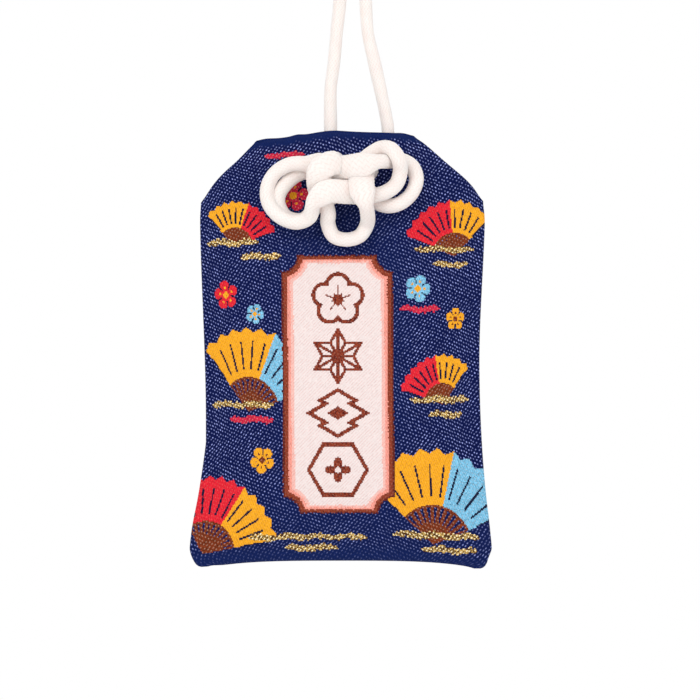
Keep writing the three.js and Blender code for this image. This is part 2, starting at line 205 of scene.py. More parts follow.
def smooth_path(points, spacing):
    """Evenly spaced points on a centripetal Catmull-Rom curve through the points."""
    points = np.asarray(points, float)
    first = 2 * points[0] - points[1]
    last = 2 * points[-1] - points[-2]
    knots = np.vstack([first, points, last])
    dense = []
    for i in range(1, len(knots) - 2):
        p0, p1, p2, p3 = knots[i - 1:i + 3]
        t0 = 0.0
        t1 = t0 + math.sqrt(np.linalg.norm(p1 - p0))
        t2 = t1 + math.sqrt(np.linalg.norm(p2 - p1))
        t3 = t2 + math.sqrt(np.linalg.norm(p3 - p2))
        t = np.linspace(t1, t2, CURVE_STEPS, endpoint=False)[:, None]
        a1 = between(p0, p1, t, t0, t1)
        a2 = between(p1, p2, t, t1, t2)
        a3 = between(p2, p3, t, t2, t3)
        b1 = between(a1, a2, t, t0, t2)
        b2 = between(a2, a3, t, t1, t3)
        dense.append(between(b1, b2, t, t1, t2))
    dense = np.vstack(dense + [points[-1:]])
    along = np.concatenate([[0], np.cumsum(np.linalg.norm(np.diff(dense, axis=0), axis=1))])
    count = max(2, int(round(along[-1] / spacing)))
    wanted = np.linspace(0, along[-1], count + 1)
    return np.stack([np.interp(wanted, along, dense[:, k]) for k in range(3)], axis=1), wanted


def path_frames(path):
    """Two unit vectors across the path at each point, carried along without twist."""
    tangents = np.gradient(path, axis=0)
    tangents /= np.linalg.norm(tangents, axis=1)[:, None]
    side = np.cross(tangents[0], (0.0, 1.0, 0.0))
    side /= np.linalg.norm(side)
    sides = []
    for tangent in tangents:
        side = side - tangent * side.dot(tangent)
        side /= np.linalg.norm(side)
        sides.append(side)
    sides = np.array(sides)
    return sides, np.cross(tangents, sides)


# Braided cord

BRAID_STRANDS = 12
BRAID_LAY = 0.85
BRAID_RELIEF = 0.07
BRAID_POWER = 0.6
BRAID_MEAN = 0.6
CORD_SIDES = 48
CORD_STEP = 0.14

# Slow swells of the cord's radius along its length, in millimetres: rise, run and shift
CORD_SWELLS = [(0.03, 3.1, 0.7), (0.02, 1.7, 0.0)]

# Tight middle of the knot, in millimetres, and the cord's width and depth there as shares of its diameter
PRESS_X = 0.0
PRESS_DROP = 7.7
PRESS_HALF_WIDTH = 6.0
PRESS_HALF_HEIGHT = 4.8
PRESS_FADE = 2.0
PRESS_WIDER = 1.7
PRESS_THINNER = 0.84


def braid_height(angle, along):
    """Relief of a round braid: two families of slanting strands that pass over and under each other."""
    around, lay = angle * BRAID_STRANDS / math.tau, along / BRAID_LAY
    one, other = around + lay, around - lay
    bulges = [np.abs(np.sin(math.pi * run)) ** BRAID_POWER for run in (one, other)]
    over = np.where((np.floor(one) + np.floor(other)) % 2 == 0, 1.0, 0.0)
    return over * bulges[0] + (1 - over) * bulges[1]


def knot_pressure(path):
    """How much the cord is pressed: fully in the tight middle of the knot, not at all in its loops."""
    x, drop = path[:, 0], POUCH_TOP_Z - path[:, 2]
    across = np.clip((PRESS_HALF_WIDTH - np.abs(x - PRESS_X)) / PRESS_FADE, 0, 1)
    down = np.clip((PRESS_HALF_HEIGHT - np.abs(drop - PRESS_DROP)) / PRESS_FADE, 0, 1)
    return across * down


def pressed(ring, path, share):
    """Rings of a cord made wider in the plane of the cloth and thinner towards it, by each ring's share."""
    share = share[:, None, None]
    wide = np.cross(np.gradient(path, axis=0), (0.0, 1.0, 0.0))
    wide /= np.maximum(np.linalg.norm(wide, axis=1), 0.5 * CORD_STEP)[:, None]
    along_wide = np.einsum("ijk,ik->ij", ring, wide)[:, :, None]
    ring = ring + share * (PRESS_WIDER - 1) * along_wide * wide[:, None, :]
    ring[:, :, 1:2] *= 1 + share * (PRESS_THINNER - 1)
    return ring


def tube_faces(rings, sides):
    """Quads between the rings of a tube, and fans round two middle points that close its ends."""
    faces = []
    for i in range(rings - 1):
        low = i * sides
        high = low + sides
        for k in range(sides):
            nxt = (k + 1) % sides
            faces.append((low + k, low + nxt, high + nxt, high + k))
    last = (rings - 1) * sides
    for k in range(sides):
        nxt = (k + 1) % sides
        faces.append((nxt, k, rings * sides))
        faces.append((last + k, last + nxt, rings * sides + 1))
    return faces


def braided_tube(name, points, cord_radius, pressure=None):
    """A braided cord along points in millimetres, pressed where told. Returns the piece and its path."""
    path, along = smooth_path(points, CORD_STEP)
    sides, ups = path_frames(path)
    angles = np.arange(CORD_SIDES) * (math.tau / CORD_SIDES)
    height = braid_height(angles[None, :], along[:, None])
    radius = cord_radius + BRAID_RELIEF * (height - BRAID_MEAN)
    swell = sum(rise * np.sin(along / run + shift) for rise, run, shift in CORD_SWELLS)
    radius = radius + swell[:, None]
    ring = radius[:, :, None] * (
        np.cos(angles)[None, :, None] * sides[:, None, :] + np.sin(angles)[None, :, None] * ups[:, None, :]
    )
    if pressure is not None:
        ring = pressed(ring, path, pressure(path))
    rings = len(path)
    vertices = np.vstack([(path[:, None, :] + ring).reshape(-1, 3), path[:1], path[-1:]])
    piece = new_piece(name, vertices * MM, tube_faces(rings, CORD_SIDES))
    # Painted shade: how deep each point lies in the grooves between strands, used to darken the cord's
    # colour there
    groove_shade = np.append(1 - height.ravel(), (0.0, 0.0))
    write_values(piece.data, "groove_shade", "FLOAT", "POINT", groove_shade)
    corners = corner_points(piece.data)
    ring_of = np.minimum(corners // CORD_SIDES, rings - 1)
    write_uv(piece.data, "Lay", (corners % CORD_SIDES) / CORD_SIDES, along[ring_of])
    return piece, path * MM


# The hanging loop's route: x, height above the pouch's top edge
LOOP_ROUTE = [
    (LEFT_STRAND_X, -1.0), (LEFT_STRAND_X, HINGE_RISE), (LEFT_STRAND_X, 7.3), (-1.2, 11.8), (-0.75, 16.8),
    (-0.2, 22.2), (-0.2, 28.0), (-0.8, 35.0), (-1.6, 42.0), (-2.3, 47.5), (-2.2, 50.3), (-1.5, 52.2),
    (0.0, 53.1), (1.5, 52.2), (2.2, 50.3), (2.4, 47.5), (2.9, 42.0), (3.4, 35.0), (3.9, 28.0), (4.12, 22.2),
    (4.5, 16.8), (5.6, 11.8), (6.6, 7.3), (RIGHT_STRAND_X, HINGE_RISE), (7.9, -1.0),
]

# The knot's leads: x, drop below the top edge, distance in front of the seam plane
LEFT_LEAD = [
    (LEFT_STRAND_X, 0.9, 0.0), (-1.6, 2.4, 0.3), (-1.3, 3.9, 1.4), (-1.0, 4.7, 3.6), (-0.6, 5.1, 6.5),
    (-0.8, 5.4, 9.3), (-2.0, 5.6, 10.5),
]
RIGHT_LEAD = [(4.3, 6.2, 3.4), (5.2, 5.2, 1.4), (6.4, 3.2, 0.4), (7.3, 1.6, 0.0)]

# Turns and passes of the knot: x, drop below the top edge, layer counted from the cloth
KNOT_TURNS = [
    (-3.4, 6.6, 2.1), (-3.65, 8.1, 1.75), (-3.4, 9.7, 1.05), (-2.6, 11.7, 1.0), (-2.1, 13.6, 0.7),
    (-2.15, 15.2, 0.3), (-1.2, 17.3, 0.2), (1.0, 17.9, 0.2), (3.2, 17.2, 0.2), (4.3, 15.4, 0.4),
    (4.35, 13.5, 1.45), (3.9, 11.6, 2.15), (3.5, 9.9, 2.15), (3.4, 8.3, 1.75), (3.5, 6.9, 1.1),
    (4.1, 5.3, 1.0), (5.0, 3.8, 0.95), (6.5, 2.8, 1.1), (8.2, 3.0, 1.5), (9.5, 4.7, 1.6), (9.8, 6.6, 1.2),
    (9.1, 8.8, 1.0), (7.2, 10.2, 1.0), (5.2, 10.6, 1.05), (3.4, 10.2, 1.05), (0.6, 10.15, 1.6),
    (-2.3, 10.2, 2.1), (-4.3, 11.8, 1.95), (-5.25, 14.3, 1.2), (-7.3, 15.1, 1.0), (-10.0, 14.2, 0.9),
    (-11.9, 11.9, 0.7), (-12.15, 9.3, 0.6), (-10.95, 7.0, 0.7), (-8.7, 5.6, 0.9), (-6.3, 5.4, 1.0),
    (-3.9, 5.7, 1.05), (-1.6, 6.1, 1.1), (0.6, 6.1, 1.45), (2.4, 5.9, 1.95), (4.2, 5.6, 2.1),
    (6.1, 5.2, 1.95), (7.7, 5.0, 0.75), (8.9, 4.8, 0.05), (10.2, 4.8, 0.0), (11.8, 5.8, 0.0),
    (12.5, 8.0, 0.2), (11.5, 10.5, 0.3), (9.2, 12.15, 0.4), (6.7, 12.1, 0.1), (3.8, 10.0, 0.1),
    (0.7, 9.5, 0.3), (-1.8, 10.0, 0.2), (-4.2, 12.6, 0.1), (-6.4, 14.6, 0.2), (-9.0, 14.2, 0.3),
    (-10.3, 12.3, 0.35), (-10.3, 10.5, 0.35), (-8.8, 8.3, 0.3), (-6.6, 6.85, 0.2), (-4.2, 6.8, 0.1),
    (-1.0, 8.2, 0.35), (0.9, 8.0, 0.4), (2.6, 6.9, 0.1),
]


def make_hanging_loop(material):
    route = [(x, 0.0, POUCH_TOP_Z + height) for x, height in LOOP_ROUTE]
    piece, path = braided_tube("hanging_cord", route, STRAND_RADIUS)
    piece.data.materials.append(material)
    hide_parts("hanging_loop")
    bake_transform(piece)


def lead_point(x, drop, forward):
    return x, -forward, POUCH_TOP_Z - drop


def turn_point(x, drop, layer):
    """A point of the knot on its layer; the knot leans with the swell of the cloth."""
    return x, -(KNOT_FLOOR + KNOT_LEAN * drop + LAYER_PITCH * layer), POUCH_TOP_Z - drop


def make_knot(material):
    route = [lead_point(*row) for row in LEFT_LEAD]
    route += [turn_point(*row) for row in KNOT_TURNS]
    route += [lead_point(*row) for row in RIGHT_LEAD]
    piece, _ = braided_tube("knot_braid", route, KNOT_RADIUS, knot_pressure)
    piece.data.materials.append(material)
    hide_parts("knot_cord")
    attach(piece, "pouch")


# Woven design, worked out in flat-cut millimetres: x across, drop down from the top edge

# Fans: angles in degrees, places along the leaf as shares of its radius, widths in millimetres
FAN_SPREAD = 57.0
FAN_FOLD = 11.4
FAN_SCALLOP = 0.06
FAN_HUB = 0.22
FAN_LEAF_FROM = 0.4
FAN_RIB_FROM = 0.5
FAN_RIB_TO = 0.84
RIB_WIDTH = 0.34
STICK_WIDTH = 0.6
FAN_BAND_WIDTH = 0.4

# Blossoms: shares of the radius, and widths in millimetres
PETAL_NECK = 0.58
PETAL_SWELL = 0.42
PETAL_LINE = 0.3
PETAL_LINE_FROM = 0.4
BLOSSOM_HEART = 0.24
STAMEN_AT = 0.52
STAMEN_HALF = 0.18
STAMEN_LOBE = 0.95

# Mist bars, in millimetres, and the least share of their height that ragged edges leave
MIST_HEIGHT = 1.4
MIST_TAPER = 1.2
MIST_SWAY = 0.16
MIST_WAVE = 5.3
MIST_LEAST = 0.45
MIST_SEED = 1000

# Crests, in millimetres; diamonds have a rise, a half width and a half height
CREST_STROKE = 0.66
HEMP_REACH = 4.4
HEMP_STROKE = 0.5
PLUM_PETAL_OUT = 2.35
PLUM_PETAL_RADIUS = 1.85
PLUM_HEART = 0.75
PLUM_STAMENS = (0.7, 2.3)
PLUM_STAMEN_WIDTH = 0.288
STEPPED_DIAMONDS = [(0, 4.8, 2.7), (2.1, 2.9, 1.7), (-2.1, 2.9, 1.7)]
INNER_DIAMOND = (0, 1.9, 1.1)
SHELL_SIZE = 4.2
SHELL_FLOWER = (0.5, 2.1)


def turned(x, drop, centre_x, centre_drop, turn):
    """Places seen from a motif's centre, across and up, with the motif turned clockwise by degrees."""
    angle = math.radians(turn)
    dx, up = x - centre_x, centre_drop - drop
    return dx * math.cos(angle) - up * math.sin(angle), dx * math.sin(angle) + up * math.cos(angle)


def draw_fan(kinds, x, drop, pivot_x, pivot_drop, radius, turn, left, right):
    """A folding fan: a two-coloured leaf with dark ribs, on brown sticks."""
    across, up = turned(x, drop, pivot_x, pivot_drop, turn)
    reach = np.hypot(across, up)
    angle = np.degrees(np.arctan2(across, up))
    from_rib = np.abs(angle - FAN_FOLD * np.round(angle / FAN_FOLD))
    rim = radius * (1 - FAN_SCALLOP + FAN_SCALLOP * from_rib / (FAN_FOLD / 2))
    opened = np.abs(angle) < FAN_SPREAD
    leaf = opened & (reach < rim) & (reach > FAN_LEAF_FROM * radius)
    kinds[leaf & (angle < 0.5 * FAN_FOLD)] = left
    kinds[leaf & (angle >= 0.5 * FAN_FOLD)] = right
    beside_rib = np.radians(from_rib) * reach
    ribbed = (reach > FAN_RIB_FROM * radius) & (reach < FAN_RIB_TO * radius)
    kinds[leaf & ribbed & (beside_rib < RIB_WIDTH / 2)] = RIB
    sticks = opened & (reach <= FAN_LEAF_FROM * radius)
    kinds[sticks & ((beside_rib < STICK_WIDTH / 2) | (reach < FAN_HUB * radius))] = BROWN
    kinds[opened & (np.abs(reach - FAN_LEAF_FROM * radius) < FAN_BAND_WIDTH / 2)] = BROWN


def draw_blossom(kinds, x, drop, centre_x, centre_drop, radius, turn, petal, heart):
    """A five-petalled plum blossom with dark lines between its petals."""
    across, up = turned(x, drop, centre_x, centre_drop, turn)
    reach = np.hypot(across, up)
    angle = np.arctan2(across, up)
    lobe = np.abs(np.cos(2.5 * angle))
    inside = reach < radius * (PETAL_NECK + PETAL_SWELL * np.sqrt(lobe))
    kinds[inside] = petal
    kinds[inside & (lobe * reach < PETAL_LINE) & (reach > PETAL_LINE_FROM * radius)] = RIB
    kinds[(lobe > STAMEN_LOBE) & (np.abs(reach - STAMEN_AT * radius) < STAMEN_HALF)] = heart
    kinds[reach < BLOSSOM_HEART * radius] = heart


def draw_mist(kinds, x, drop, left_end, middle, length, kind):
    """A thin drifting bar with ragged edges and drawn-out ends."""
    along = x - left_end
    inside = (along > 0) & (along < length)
    column = np.clip(along / (2 * CELL), 0, None).astype(int)
    rng = np.random.default_rng(int(MIST_SEED + 10 * middle))
    ragged = rng.uniform(MIST_LEAST, 1.0, (2, column.max() + 1))
    ends = np.sqrt(np.clip(np.minimum(along, length - along) / MIST_TAPER, 0, 1))
    rise = middle - drop + MIST_SWAY * np.sin(along * math.tau / MIST_WAVE + left_end)
    inside &= rise < MIST_HEIGHT / 2 * ends * ragged[0][column]
    inside &= -rise < MIST_HEIGHT / 2 * ends * ragged[1][column]
    kinds[inside] = kind


def label_distance(x, drop):
    """Distance inside the label's notched outline; negative outside."""
    from_middle = drop - LABEL_TOP_DROP - LABEL_HEIGHT / 2
    dx = np.abs(x - LABEL_CENTRE_X - LABEL_LEAN * from_middle)
    dy = np.abs(from_middle)
    to_side = LABEL_WIDTH / 2 - dx
    to_end = LABEL_END_RATIO * (LABEL_HEIGHT / 2 - dy)
    to_notch = np.hypot(dx - LABEL_WIDTH / 2, dy - LABEL_HEIGHT / 2) - LABEL_NOTCH
    return np.minimum(np.minimum(to_side, to_end), to_notch)


def plum_crest(across, up):
    """The outline of five round petals, with a heart and stamens."""
    petals = np.full(across.shape, np.inf)
    for i in range(5):
        angle = math.tau * i / 5
        dx, dy = across - PLUM_PETAL_OUT * math.sin(angle), up - PLUM_PETAL_OUT * math.cos(angle)
        petals = np.minimum(petals, np.hypot(dx, dy) - PLUM_PETAL_RADIUS)
    reach = np.hypot(across, up)
    lobe = np.abs(np.sin(2.5 * np.arctan2(across, up)))
    stamens = lobe < PLUM_STAMEN_WIDTH / np.maximum(reach, PLUM_STAMEN_WIDTH)
    stamens &= (reach > PLUM_STAMENS[0]) & (reach < PLUM_STAMENS[1])
    return (np.abs(petals) < CREST_STROKE / 2) | (reach < PLUM_HEART) | stamens


def diamond_crest(across, up):
    """The outline of three merged diamonds round a solid one."""
    def diamond(rise, width, height):
        size = math.hypot(width, height)
        return (np.abs(across) * height + np.abs(up - rise) * width - width * height) / size
    stepped = np.minimum.reduce([diamond(*row) for row in STEPPED_DIAMONDS])
    return (np.abs(stepped) < CREST_STROKE / 2) | (diamond(*INNER_DIAMOND) < 0)


def hemp_crest(across, up):
    """The hemp-leaf star: six kite-shaped leaves round a point."""
    def line(start, end):
        run, rise = end[0] - start[0], end[1] - start[1]
        along = (across - start[0]) * run + (up - start[1]) * rise
        part = np.clip(along / (run * run + rise * rise), 0, 1)
        return np.hypot(across - start[0] - part * run, up - start[1] - part * rise)
    nearest = np.full(across.shape, np.inf)
    for i in range(6):
        tip_angle = math.radians(60 * i)
        tip = (HEMP_REACH * math.sin(tip_angle), HEMP_REACH * math.cos(tip_angle))
        nearest = np.minimum(nearest, line((0, 0), tip))
        for side in (-1, 1):
            angle = tip_angle + side * math.radians(30)
            inner = HEMP_REACH / math.sqrt(3)
            fork = (inner * math.sin(angle), inner * math.cos(angle))
            nearest = np.minimum(nearest, line(fork, tip))
            nearest = np.minimum(nearest, line((0, 0), fork))
    return nearest < HEMP_STROKE / 2


def shell_crest(across, up):
    """A hexagon, as on a tortoise's shell, round a four-petalled flower."""
    hexagon = np.maximum(np.abs(up), np.abs(across) * 0.866 + np.abs(up) * 0.5) - SHELL_SIZE
    reach = np.hypot(across, up)
    lobe = np.abs(np.cos(2 * np.arctan2(across, up)))
    flower = (reach > SHELL_FLOWER[0]) & (reach < SHELL_FLOWER[1] * (0.35 + 0.65 * lobe))
    return (np.abs(hexagon) < CREST_STROKE / 2) | flower


# Bands of the label: how far inside its edge each one starts, and its thread
LABEL_BANDS = [
    (0.0, EDGE), (0.3, BORDER), (1.0, CORAL), (1.5, PINK), (2.05, FIELD),
]
LABEL_CRESTS = [plum_crest, hemp_crest, diamond_crest, shell_crest]
CREST_PITCH = 9.4
CREST_DARK_SHARE = 0.3


def scattered(x, drop):
    """A chance value from 0 to 1 that belongs to each place."""
    return np.modf(np.abs(np.sin(x * 127.1 + drop * 311.7) * 43758.5))[0]


def draw_label(kinds, x, drop):
    """The woven label: a brown border, coral and pink bands, and four crests one below the other."""
    inside = label_distance(x, drop)
    weave = scattered(x, drop)
    at_ends = np.abs(drop - LABEL_TOP_DROP - LABEL_HEIGHT / 2) > LABEL_HEIGHT / 2 - LABEL_NOTCH
    ragged = inside + np.where(at_ends, LABEL_END_FRAY, LABEL_SIDE_FRAY) * (weave - 0.5)
    for depth, kind in LABEL_BANDS:
        kinds[ragged > depth] = kind
    first = LABEL_TOP_DROP + LABEL_HEIGHT / 2 - CREST_PITCH * (len(LABEL_CRESTS) - 1) / 2
    for i, crest in enumerate(LABEL_CRESTS):
        shown = crest(x - LABEL_CENTRE_X, first + CREST_PITCH * i - drop)
        shown &= inside > LABEL_INNER_BORDER
        kinds[shown] = np.where(weave[shown] < CREST_DARK_SHARE, EDGE, BORDER)


# Gold and crimson mist: left end, drop, length, thread; the label covers those in the middle of the front
MIST_BARS = [
    (-7.0, 36.4, 11.0, GOLD), (-3.0, 38.8, 8.0, GOLD), (-8.0, 60.6, 12.0, GOLD),
    (-24.0, 18.2, 10.0, GOLD), (-17.5, 20.6, 7.5, GOLD), (12.4, 19.4, 11.0, GOLD),
    (15.6, 21.9, 6.8, GOLD), (9.8, 29.4, 7.4, CRIMSON), (-24.0, 45.2, 12.6, GOLD),
    (-20.0, 47.7, 8.6, CRIMSON), (11.5, 44.4, 11.8, GOLD), (15.0, 46.9, 6.6, GOLD),
    (-15.5, 67.4, 20.0, GOLD), (-9.4, 69.3, 9.0, GOLD), (8.6, 66.9, 14.6, GOLD),
    (13.4, 69.2, 9.5, GOLD), (-13.0, 3.1, 7.0, CRIMSON),
]

# Fans: pivot x, pivot drop, radius, turn, left and right colours
FANS = [
    (-1.0, 37.4, 8.6, -8, AMBER, SKY), (1.2, 61.4, 8.0, 12, RED, AMBER),
    (-18.4, 19.0, 8.0, 14, AMBER, RED), (-16.2, 46.4, 14.0, 16, AMBER, SKY),
    (19.6, 20.6, 9.6, -12, RED, AMBER), (17.8, 45.2, 8.4, -16, RED, AMBER),
    (15.4, 68.4, 16.0, 10, AMBER, SKY), (-23.0, 69.5, 12.6, 26, RED, AMBER),
]

# Blossoms: centre x, centre drop, radius, turn, petals, heart
BLOSSOMS = [
    (4.6, 47.4, 2.2, 15, CRIMSON, AMBER), (-4.4, 50.0, 1.8, 50, SKY, AMBER),
    (3.4, 24.6, 1.9, 30, AMBER, BROWN),
    (-8.0, 10.4, 2.7, 12, CRIMSON, AMBER), (13.0, 26.0, 2.3, 20, SKY, AMBER),
    (-20.4, 27.0, 2.4, -10, RED, AMBER), (-13.4, 54.4, 2.2, 40, AMBER, BROWN),
    (20.2, 31.0, 1.9, 0, AMBER, BROWN), (-14.8, 30.2, 1.7, 24, SKY, AMBER),
]


def weave_kinds(x, drop, front):
    """The thread kind at each place of the cloth; the back has the same pattern without the label."""
    kinds = np.full(x.shape, GROUND)
    for draw, rows in ((draw_fan, FANS), (draw_blossom, BLOSSOMS), (draw_mist, MIST_BARS)):
        for row in rows:
            draw(kinds, x, drop, *row)
    if front:
        draw_label(kinds, x, drop)
    kinds[(kinds == GROUND) & (hem_and_foot_shade(x, drop) >= 1)] = HEM
    return kinds


# Edge of the mouth's hem, in millimetres: waves with rise, rate and shift, and a slope to the left
HEM_WAVES = [(0.16, 1.9, 0.0), (0.12, 4.7, 1.0)]
HEM_SLOPE = 0.03
HEM_SLOPE_END = 14

# Where the weave calms down and where the painted shade along the foot gets narrow, in millimetres from and
# to
KNOT_CALM = (6, 13)
SIDE_CALM = (7, 14)
FOOT_CALM = (54, 66)
NARROW_FOOT_SHADE = (8, 18)
NARROW_FOOT_SHADE_SHARE = 0.7


def hem_and_foot_shade(x, drop):
    """How far the dotted ground has given way to the plain weave of the mouth's hem, and to painted shade
    along the foot, where the cloth rolls under.
    """
    top_edge = TOP_HEM
    for rise, rate, shift in HEM_WAVES:
        top_edge = top_edge + rise * np.sin(x * rate + shift)
    top_edge = top_edge + HEM_SLOPE * np.clip(-x, 0, HEM_SLOPE_END)
    at_top = 1 - smoothstep(drop, top_edge, top_edge + TOP_HEM_FADE)
    # Painted shade: towards the foot the dots fade out and the ground turns to the plain thread's colour,
    # where the cloth rolls under
    foot_shade_fade = FOOT_SHADE_FADE * (1 - NARROW_FOOT_SHADE_SHARE * smoothstep(x, *NARROW_FOOT_SHADE))
    foot_shade = smoothstep(drop, POUCH_HEIGHT - FOOT_SHADE_BAND - foot_shade_fade, POUCH_HEIGHT - FOOT_SHADE_BAND)
    return np.maximum(at_top, FOOT_SHADE_SHARE * foot_shade)


def plain_and_shade_share(x, drop):
    """Like the share of the mouth's hem and the foot's painted shade, with a calmer weave under the knot
    and towards the foot too.
    """
    at_mouth = 1 - smoothstep(drop, *KNOT_CALM)
    at_sides = smoothstep(np.abs(x), *SIDE_CALM) * (1 - smoothstep(drop, *FOOT_CALM))
    return np.maximum(hem_and_foot_shade(x, drop), CALM_SHARE * (1 - np.maximum(at_mouth, at_sides)))


# Pouch cloth

def half_width(left, drop):
    """Half width of the sewn pouch at a drop, without its cut-off shoulders."""
    side = {key: np.where(left, LEFT_SIDE[key], RIGHT_SIDE[key]) for key in LEFT_SIDE}
    corner_drop = POUCH_HEIGHT - FOOT_CORNER
    drawn_in = smoothstep(drop, SHOULDER_DROP, side["waist_drop"])
    flare_run = (drop - side["flare_drop"]) / (corner_drop - side["flare_drop"])
    flared = np.clip(flare_run, 0, 1) ** side["flare_power"]
    half = side["shoulder"] + (side["waist"] - side["shoulder"]) * drawn_in
    half = half + (FLAT_HALF - side["waist"]) * flared
    into = np.clip((drop - corner_drop) / FOOT_CORNER, 0, 1)
    return half - FOOT_CORNER * (1 - np.sqrt(1 - into * into))


def roll(distance, reach):
    """Rise of stuffed cloth from an edge: steep at the edge and level at its reach."""
    t = np.clip(distance / reach, 0, 1)
    return np.sqrt(1 - (1 - t) ** 2)


def shoulder_distances(x, drop):
    """Distances inside both cut-off shoulders."""
    found = []
    for outwards, top_flat in ((-x, LEFT_TOP_FLAT), (x, RIGHT_TOP_FLAT)):
        run = FLAT_HALF - top_flat
        inwards = (FLAT_HALF - outwards) * SHOULDER_DROP + (drop - SHOULDER_DROP) * run
        found.append(inwards / math.hypot(run, SHOULDER_DROP))
    return found


def seam_distance(x, drop):
    """Distance to the nearest sewn edge."""
    return np.minimum.reduce([FLAT_HALF - np.abs(x), POUCH_HEIGHT - drop, *shoulder_distances(x, drop)])


# Lips of the mouth, in millimetres: how far they stand off, and how much more at each strand
LIP_GAP = 0.4
LIP_RUN = 5.0
STRAND_GAP = 1.15
STRAND_GAP_WIDTH = 2.6
LIP_FADE = 5


def mouth_gap(x):
    """How far each lip of the mouth stands off the seam plane: most where a strand passes."""
    strands = (LEFT_STRAND_X, RIGHT_STRAND_X)
    opened = sum(STRAND_GAP * np.exp(-((x - strand) / STRAND_GAP_WIDTH) ** 2) for strand in strands)
    return (LIP_GAP + opened) * roll(np.minimum(x + LEFT_TOP_FLAT, RIGHT_TOP_FLAT - x), LIP_RUN)


# The mouth's edge: its highest point, its rise over the drop of nought, its two slopes and its fade
ARCH_X = -0.5
ARCH_RISE = 0.12
LEFT_ARCH_SLOPE = 0.13
RIGHT_ARCH_SLOPE = 0.045
ARCH_FADE = 6

# How fast the foot's tips drop towards the sides and towards the foot
TIP_ACROSS_POWER = 3
TIP_DOWN_POWER = 8

# Soft places of the outline: x, drop, way they are pressed, how far (below nought: out), how wide
SOFT_PLACES = [
    (-14.2, 1.2, 0.38, 0.92, 0.12, 2.2), (12.1, 0.4, -0.38, 0.92, 0.2, 2.2),
    (-23.6, 11.0, 0.92, 0.38, 0.22, 2.2), (24.1, 11.0, -0.92, 0.38, 0.4, 2.2),
    (-20.6, 7.6, 0.72, 0.69, -0.22, 3.4), (20.8, 7.8, -0.72, 0.69, -0.26, 3.6),
    (-17.2, 4.4, 0.72, 0.69, 0.1, 2.0), (-12.9, 1.4, 0.0, 1.0, -0.28, 1.8),
    (-7.3, 0.7, 0.0, 1.0, -0.2, 1.1), (-3.4, 0.2, 0.0, 1.0, -0.11, 2.4),
    (10.4, 0.4, 0.0, 1.0, -0.2, 1.3), (12.4, 0.9, -0.4, 0.92, 0.12, 0.9),
    (-25.2, 65.8, 1.0, 0.0, -0.25, 4.0), (25.1, 65.4, -1.0, 0.0, -0.1, 4.0),
    (-23.7, 71.8, 0.3, -0.95, -0.3, 1.2), (23.6, 71.9, -0.3, -0.95, -0.42, 1.4),
    (-22.0, 72.4, 0.0, -1.0, 0.28, 1.6), (24.7, 70.8, -0.9, -0.44, 0.22, 1.2),
]


def place_cloth(x, drop, facing, shape):
    """Turns flat-cut places into points of the sewn and stuffed pouch, in millimetres."""
    below = np.maximum(drop, 0)
    half = half_width(x < 0, below)
    u = x / FLAT_HALF
    across = half * u * (1 + (FLAT_HALF / half - 1) * (1 - u * u))
    arch = np.where(x < ARCH_X, LEFT_ARCH_SLOPE, RIGHT_ARCH_SLOPE) * (np.hypot(x - ARCH_X, 1.0) - 1)
    tip = FOOT_TIP_DROP * np.abs(u) ** TIP_ACROSS_POWER * (below / POUCH_HEIGHT) ** TIP_DOWN_POWER
    fall = below + tip + (arch - ARCH_RISE) * np.exp(-below / ARCH_FADE)
    for soft_x, soft_drop, press_x, press_drop, depth, width in SOFT_PLACES:
        near = depth * np.exp(-((across - soft_x) ** 2 + (fall - soft_drop) ** 2) / width ** 2)
        across = across + press_x * near
        fall = fall + press_drop * near
    swell = roll(FLAT_HALF - np.abs(x), shape["side"]) * roll(POUCH_HEIGHT - below, shape["foot"])
    swell = swell * roll(below, shape["top"])
    for distance in shoulder_distances(x, below):
        swell = swell * roll(distance, shape["shoulder"])
    depth = shape["crown"] * swell + mouth_gap(x) * np.exp(-(below / LIP_FADE) ** 2)
    above = np.maximum(-drop, 0)
    bend = np.clip(above / HEM_ROLL, 0, math.pi)
    inside = np.maximum(above - math.pi * HEM_ROLL, 0)
    fall = fall - HEM_ROLL * np.sin(bend) + inside
    depth = depth - HEM_ROLL * (1 - np.cos(bend))
    return np.stack([across, facing * depth, POUCH_TOP_Z - fall], axis=-1)


def flat_grid(step, top):
    """Even places of the flat-cut cloth from a drop to its foot, with their rows and columns."""
    columns = int(round(2 * FLAT_HALF / step))
    rows = int(round((POUCH_HEIGHT - top) / step))
    across = np.linspace(-FLAT_HALF, FLAT_HALF, columns + 1)
    x, drop = np.meshgrid(across, np.linspace(top, POUCH_HEIGHT, rows + 1))
    return x, drop, rows, columns


def grid_faces(rows, columns):
    """Quads of a grid of places, facing the front."""
    corner = (np.arange(rows)[:, None] * (columns + 1) + np.arange(columns)[None, :]).ravel()
    return np.stack([corner, corner + columns + 1, corner + columns + 2, corner + 1], axis=1)


# Settling of the stuffed cloth: grid, in millimetres, and simulation units of this many millimetres
SETTLE_STEP = 1.2
SETTLE_UNIT = 25.0
SETTLE_FRAMES = 36
SETTLE_LIMIT = 2.6
SEAM_HELD = 0.4
CLOTH_SETTINGS = {
    "quality": 10, "mass": 0.3, "tension_stiffness": 40, "compression_stiffness": 40, "shear_stiffness": 15,
    "tension_damping": 10, "compression_damping": 10, "shear_damping": 10, "bending_damping": 2,
    "air_damping": 4, "use_pressure": True, "vertex_group_mass": "held",
}


